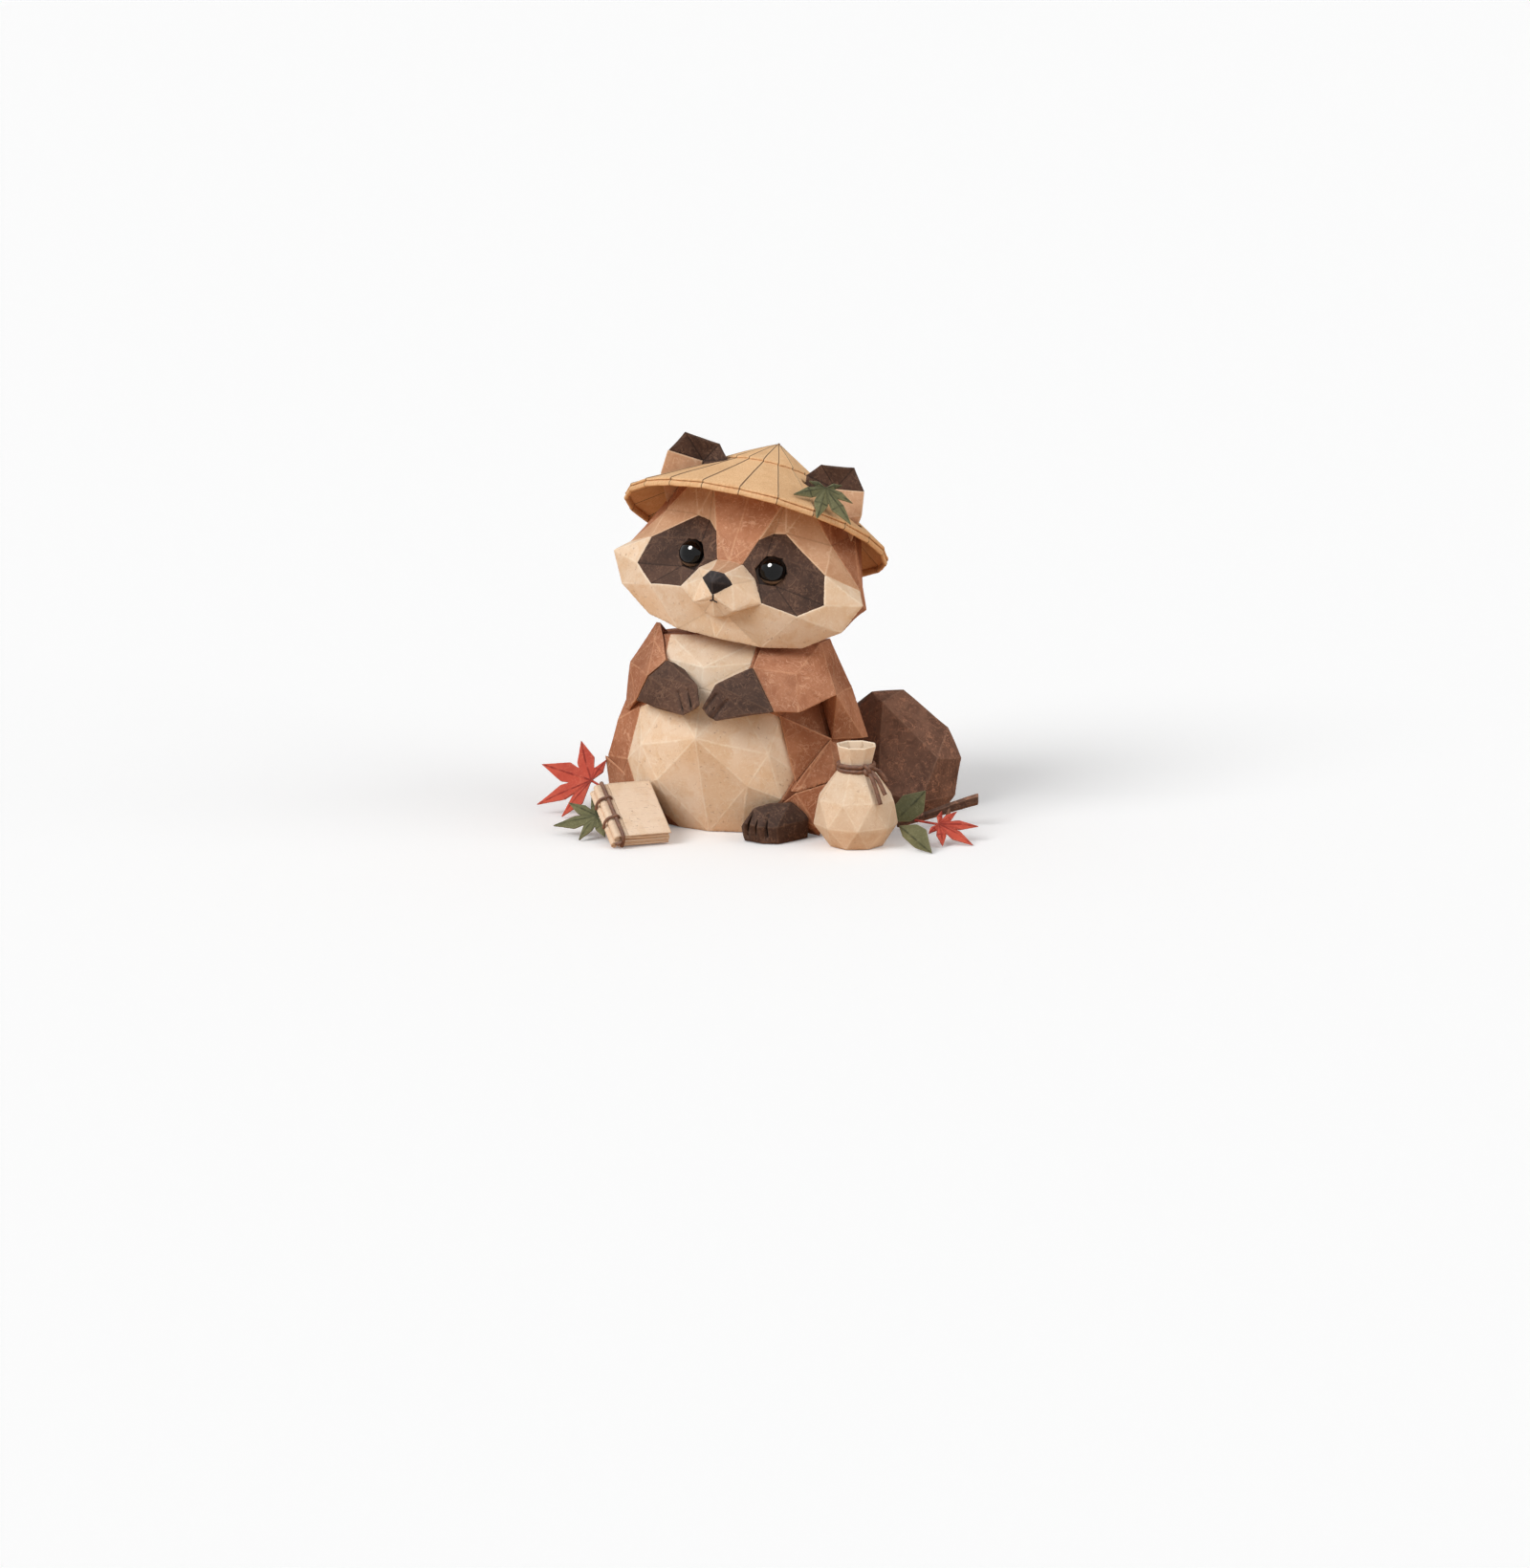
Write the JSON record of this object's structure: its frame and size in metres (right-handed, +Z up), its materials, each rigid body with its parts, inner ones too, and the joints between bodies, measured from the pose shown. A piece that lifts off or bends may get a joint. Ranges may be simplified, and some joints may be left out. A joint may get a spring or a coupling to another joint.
{
  "type": "paper tanuki figure",
  "caption": "Seated folded-paper tanuki in a lift-off conical hat, its head turning on a neck tube, with a tied pouch, a bound notebook and paper leaves beside it.",
  "frame": {"origin": "middle of the body's flat base, on the floor", "axes": "+Z up; the figure sits facing -Y; +X is the viewer's right"},
  "size_m": [0.2163, 0.1495, 0.1821],
  "materials": {
    "packed_card": "matt, unseen inside the folded paper",
    "cream_washi": "matt washi with fine fibres",
    "chestnut_washi": "matt washi with worn, lighter folds",
    "nose_paper": "matt charcoal paper",
    "tan_washi": "matt washi with fine fibres",
    "bark_washi": "matt washi, mottled",
    "eye_black": "polished bead",
    "straw_washi": "matt washi, pleated",
    "green_washi": "matt washi with fine veins",
    "tail_washi": "matt washi, mottled",
    "cord": "twisted cotton cord",
    "red_washi": "matt washi with fine veins"
  },
  "bodies": {
    "figure": {"body_form": "packed_card", "belly": "cream_washi", "chest": "cream_washi", "coat": "chestnut_washi", "base_card": "chestnut_washi", "sleeve_left": "chestnut_washi", "sleeve_right": "chestnut_washi", "coat_flare": "chestnut_washi", "paw_left": "bark_washi", "paw_right": "bark_washi", "hip_fold_upper": "chestnut_washi", "hip_fold_middle": "chestnut_washi", "hip_fold_lower": "chestnut_washi", "hip_fold_left": "chestnut_washi", "foot_left": "bark_washi", "foot_right": "bark_washi", "tail": "tail_washi", "red_maple": "red_washi", "green_maple": "green_washi", "leaf_upper": "green_washi", "leaf_lower": "green_washi", "small_maple": "red_washi", "twig": "bark_washi"},
    "head": {"head_form": "packed_card", "face_mask": "cream_washi", "muzzle_left": "cream_washi", "muzzle_right": "cream_washi", "lower_lip": "cream_washi", "nose_bridge": "chestnut_washi", "nose": "nose_paper", "forehead": "chestnut_washi", "brow_left": "tan_washi", "brow_right": "tan_washi", "eye_patch_left": "bark_washi", "eye_patch_right": "bark_washi", "eye_left": "eye_black", "eye_right": "eye_black", "head_back": "chestnut_washi", "neck_tube": "chestnut_washi", "ear_left": "bark_washi", "ear_right": "bark_washi", "ear_lining_left": "tan_washi", "ear_lining_right": "tan_washi"},
    "hat": {"hat_cone": "straw_washi", "hat_cap": "straw_washi", "hat_tip": "straw_washi", "hat_rim": "straw_washi", "hat_leaf": "green_washi"},
    "pouch": {"pouch": "cream_washi", "tie_cord": "cord", "tie_knot": "cord"},
    "book": {"book_lower": "cream_washi", "book_upper": "cream_washi", "book_rolls": "cream_washi", "book_binding": "cord"},
    "cover": {"book_cover": "cream_washi"}
  },
  "joints": [
    {"name": "head_turn", "type": "hinge", "parent": "figure", "child": "head", "pos_m": [0.01, 0.0035, 0.1171], "axis": [0.1461, 0, 0.9893], "range_deg": [-12, 12]},
    {"name": "hat_lift", "type": "slide", "parent": "head", "child": "hat", "axis": [0.1461, 0, 0.9893], "range_m": [0, 0.06]},
    {"name": "pouch_lift", "type": "slide", "parent": "figure", "child": "pouch", "axis": [0, -0.7071, 0.7071], "range_m": [0, 0.08]},
    {"name": "book_lift", "type": "slide", "parent": "figure", "child": "book", "axis": [-0.1003, -0.6018, 0.7923], "range_m": [0, 0.05]},
    {"name": "cover_open", "type": "hinge", "parent": "book", "child": "cover", "pos_m": [-0.02159, -0.07295, 0.00626], "axis": [0.5582, -0.682, -0.4726], "range_deg": [0, 100]}
  ]
}
